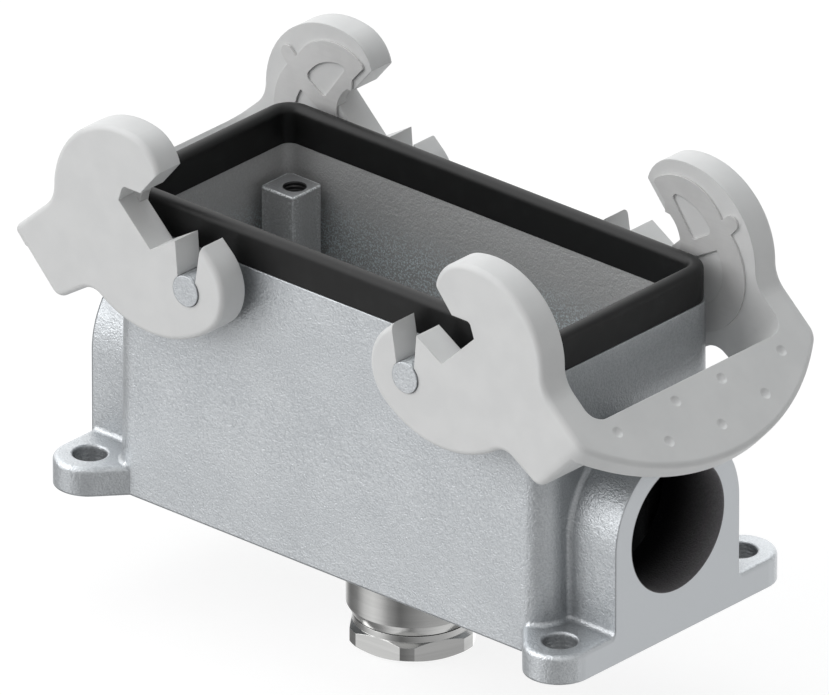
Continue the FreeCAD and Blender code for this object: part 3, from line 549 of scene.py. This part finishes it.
def steel_material(settings):
    """Matt stamped steel with rolling marks along the plate."""
    material, graph, place = new_material("stamped_steel")
    rolled = graph.noise(place, settings.rolling, 3.0, (0.06, 1.0, 1.0))
    stains = graph.noise(place, settings.stains, 3.0)
    shade = graph.times(stains, graph.spread(rolled, 0.3, 0.7, 0.8, 1.0))
    dull = [value * 0.94 for value in settings.steel]
    tone = graph.mix(graph.spread(shade, 0.3, 0.6), dull, settings.steel)
    rough = graph.plus(settings.steel_roughness - 0.07, graph.times(rolled, 0.14))
    graph.finish(Base_Color=tone, Metallic=settings.steel_metal, Roughness=rough,
                 Normal=graph.bump(rolled, settings.rolling_relief, settings.edge))
    return material


def nickel_material(settings):
    """Bright nickel over fine tool marks that run round the gland's axis, and the screw's thread."""
    material, graph, place = new_material("turned_nickel")
    x, y, z = graph.split(place)
    wander = graph.times(graph.noise(place, settings.wander, 2.0), settings.turning)
    turn = graph.math("DIVIDE", graph.plus(z, wander), settings.turning / math.tau)
    marks = graph.times(graph.plus(graph.math("SINE", turn), 1.0), 0.5)
    streaks = graph.noise(place, settings.streaks, 3.0, (0.05, 0.05, 1.0))
    height = graph.plus(graph.times(marks, 0.45), streaks)

    lead = graph.times(z, math.tau / settings.thread)
    ridge = graph.math("SINE", graph.plus(lead, graph.math("ARCTAN2", y, x)))
    radius = graph.reach(x, y)
    threaded = graph.times(graph.above(radius, SCREW_THREAD[0]), graph.below(radius, SCREW_THREAD[1]))
    depth = graph.times(threaded, settings.thread_relief / settings.turning_relief)
    height = graph.plus(height, graph.times(ridge, depth))

    dull = [value * 0.9 for value in settings.nickel]
    tone = graph.mix(graph.spread(streaks, 0.3, 0.75), dull, settings.nickel)
    rough = graph.plus(settings.nickel_roughness - 0.04, graph.times(streaks, 0.1))
    graph.finish(Base_Color=tone, Metallic=1.0, Roughness=rough,
                 Normal=graph.bump(height, settings.turning_relief, settings.edge))
    return material


def slip_ring_material(settings):
    """Black plastic of the slip ring."""
    material, graph, place = new_material("slip_ring_skin")
    grain = graph.noise(place, settings.ring_grain, 2.0)
    tone = graph.mix(grain, settings.ring_dark, settings.ring_light)
    graph.finish(Base_Color=tone, Roughness=graph.spread(grain, 0.2, 0.8, 0.35, 0.5),
                 Normal=graph.bump(grain, settings.ring_relief))
    return material


# Operators

class PieceOperator:
    """What the operators of this part share."""
    bl_options = {"REGISTER", "UNDO"}


class CONNECTOR_OT_casting(PieceOperator, bpy.types.Operator):
    """Coat the die-cast housing"""
    bl_idname = "connector.casting"
    bl_label = "Die-Cast Housing"

    def execute(self, context):
        dress("housing", casting_material(context.scene.connector_casting))
        return {"FINISHED"}


class CONNECTOR_OT_gasket(PieceOperator, bpy.types.Operator):
    """Make the rim gasket black rubber"""
    bl_idname = "connector.gasket"
    bl_label = "Rim Gasket"

    def execute(self, context):
        dress("rim_gasket", rubber_material(context.scene.connector_rubber))
        return {"FINISHED"}


class CONNECTOR_OT_levers(PieceOperator, bpy.types.Operator):
    """Mould the locking levers in light grey plastic"""
    bl_idname = "connector.levers"
    bl_label = "Locking Levers"

    def execute(self, context):
        material = plastic_material(context.scene.connector_plastic)
        for side in ("right", "left"):
            dress("lever_" + side, material)
        return {"FINISHED"}


class CONNECTOR_OT_cam_plates(PieceOperator, bpy.types.Operator):
    """Make the cam plates stamped steel"""
    bl_idname = "connector.cam_plates"
    bl_label = "Cam Plates"

    def execute(self, context):
        material = steel_material(context.scene.connector_metal)
        for side in ("right", "left"):
            for cheek in ("front", "back"):
                dress("lever_%s_plate_%s" % (side, cheek), material)
        return {"FINISHED"}


class CONNECTOR_OT_gland(PieceOperator, bpy.types.Operator):
    """Plate the gland in nickel and give its seals and slip ring their finish"""
    bl_idname = "connector.gland"
    bl_label = "Cable Gland"

    def execute(self, context):
        nickel = nickel_material(context.scene.connector_metal)
        rubber = rubber_material(context.scene.connector_rubber)
        for node in ("gland_body", "gland_pressure_screw"):
            dress(node, nickel)
        for node in ("gland_grommet", "gland_o_ring"):
            dress(node, rubber)
        dress("gland_slip_ring", slip_ring_material(context.scene.connector_plastic))
        return {"FINISHED"}


def make_floor(settings):
    """A pale floor just below the part, white but for the part's soft shadow and clear from below."""
    bpy.ops.mesh.primitive_grid_add(x_subdivisions=1, y_subdivisions=1, size=settings.floor_size,
                                    location=(0.0, 0.0, CAD_BOX[0][2] - settings.floor_gap))
    floor = bpy.context.object
    floor.name = "floor"
    material = bpy.data.materials.new("pale_floor")
    graph = new_graph(material)
    rays = graph.node("LightPath").outputs
    glow = graph.node("Emission", {"Color": grey(1.0), "Strength": settings.floor_glow})
    shadow = graph.node("BsdfDiffuse", {"Color": grey(settings.floor_shadow)})
    to_camera = graph.node("AddShader", {0: glow.outputs[0], 1: shadow.outputs[0]})
    bounce = graph.node("BsdfDiffuse", {"Color": grey(settings.floor_bounce)})
    clear = graph.node("BsdfTransparent")
    solid = graph.node("MixShader", {0: rays["Is Camera Ray"], 1: bounce.outputs[0],
                                     2: to_camera.outputs[0]})
    from_below = graph.node("NewGeometry").outputs["Backfacing"]
    is_clear = graph.highest(graph.highest(rays["Is Glossy Ray"], from_below), rays["Is Transmission Ray"])
    graph.show("Material", graph.node("MixShader", {0: is_clear, 1: solid.outputs[0], 2: clear.outputs[0]}))
    floor.data.materials.append(material)


def region(graph, direction, spot, outside, within):
    """A brightness that changes softly from outside a region of the studio to within it."""
    middle, rim, full = spot
    return graph.spread(graph.along(direction, middle), rim, full, outside, within)


def studio_reflection(graph, direction, settings):
    """What shines back from glossy surfaces: bright and dark sides, a ceiling, a skylight and a window."""
    angle = graph.node("TexGradient", {"Vector": direction}, gradient_type="RADIAL").outputs[1]
    ramp = graph.node("ValToRGB", {0: angle})
    stops = ramp.color_ramp.elements
    for place, (degrees, tone) in enumerate(SIDES):
        stop = stops[place] if place < 2 else stops.new(1.0)
        stop.position = degrees / 360 + 0.5
        stop.color = grey(tone)
    dimmed = settings.overhead * settings.dim_ceiling
    ceiling = region(graph, direction, DIM_CEILING, settings.overhead, dimmed)
    skylight = region(graph, direction, SKYLIGHT, 0.0, settings.skylight)
    upward = region(graph, direction, CEILING, 0.0, 1.0)
    sides = graph.blend(upward, ramp.outputs[0], graph.plus(ceiling, skylight))
    return graph.plus(sides, region(graph, direction, WINDOW, 0.0, settings.window))


def make_world(settings):
    """White behind the part, a room light that is dimmer on one side, and a studio to reflect."""
    world = bpy.data.worlds.new("studio")
    bpy.context.scene.world = world
    graph = new_graph(world)
    rays = graph.node("LightPath").outputs
    direction = graph.node("TexCoord").outputs["Generated"]
    ambient = region(graph, direction, DARK_SIDE, settings.ambient, settings.ambient * settings.dark_side)
    is_seen = graph.highest(rays["Is Camera Ray"], rays["Is Transmission Ray"])
    plain = graph.blend(is_seen, ambient, 1.0)
    light = graph.blend(rays["Is Glossy Ray"], plain, studio_reflection(graph, direction, settings))
    graph.show("World", graph.node("Background", {"Color": grey(1.0), "Strength": light}))


def make_lamp(name, energy, direction, width, tint):
    """A far soft lamp that shines from the given direction."""
    data = bpy.data.lights.new(name, "SUN")
    data.energy = energy
    data.color = tint
    data.angle = math.radians(width)
    lamp = bpy.data.objects.new(name, data)
    lamp.rotation_euler = Vector(direction).to_track_quat("Z", "Y").to_euler()
    bpy.context.collection.objects.link(lamp)


def make_camera(settings):
    """A far camera with a long lens at the photograph's angle."""
    turn, rise = settings.azimuth, settings.elevation
    right = Vector((math.cos(turn), math.sin(turn), 0.0))
    back = Vector((math.sin(turn) * math.cos(rise), -math.cos(turn) * math.cos(rise), math.sin(rise)))
    up = back.cross(right)
    distance = settings.lens / SENSOR_WIDTH * PHOTO_WIDTH / settings.scale
    data = bpy.data.cameras.new("photo_camera")
    data.sensor_width = SENSOR_WIDTH
    data.lens = settings.lens
    data.clip_start = 0.1
    data.clip_end = 100.0
    camera = bpy.data.objects.new("photo_camera", data)
    camera.location = right * settings.aim_right + up * settings.aim_up + back * distance
    camera.rotation_euler = back.to_track_quat("Z", "Y").to_euler()
    bpy.context.collection.objects.link(camera)
    bpy.context.scene.camera = camera


class CONNECTOR_OT_stage(PieceOperator, bpy.types.Operator):
    """Set up the floor, the lamps, the background and the camera"""
    bl_idname = "connector.stage"
    bl_label = "Studio"

    def execute(self, context):
        settings = context.scene.connector_stage
        make_floor(settings)
        make_world(settings)
        for name, *shape in LAMPS:
            make_lamp(name + "_lamp", getattr(settings, name), *shape)
        make_camera(settings)
        context.scene.view_settings.view_transform = "Standard"
        return {"FINISHED"}


STEPS = (CONNECTOR_OT_casting, CONNECTOR_OT_gasket, CONNECTOR_OT_levers, CONNECTOR_OT_cam_plates,
         CONNECTOR_OT_gland, CONNECTOR_OT_stage)

SETTINGS = (("connector_casting", CastingSettings), ("connector_plastic", PlasticSettings),
            ("connector_rubber", RubberSettings), ("connector_metal", MetalSettings),
            ("connector_stage", StageSettings))


class CONNECTOR_PT_panel(bpy.types.Panel):
    """Lists the steps and their settings."""
    bl_label = "Connector Base"
    bl_space_type = "VIEW_3D"
    bl_region_type = "UI"
    bl_category = "Connector"

    def draw(self, context):
        for step in STEPS:
            self.layout.operator(step.bl_idname)
        for name, group in SETTINGS:
            box = self.layout.box()
            for setting in group.__annotations__:
                box.prop(getattr(context.scene, name), setting)


CLASSES = tuple(group for _, group in SETTINGS) + STEPS + (CONNECTOR_PT_panel,)


def register():
    for cls in CLASSES:
        bpy.utils.register_class(cls)
    for name, group in SETTINGS:
        setattr(bpy.types.Scene, name, PointerProperty(type=group))


def unregister():
    for name, _ in SETTINGS:
        delattr(bpy.types.Scene, name)
    for cls in reversed(CLASSES):
        bpy.utils.unregister_class(cls)


def main():
    register()
    for step in STEPS:
        group, name = step.bl_idname.split(".")
        getattr(getattr(bpy.ops, group), name)()


if __name__ == "__main__":
    main()
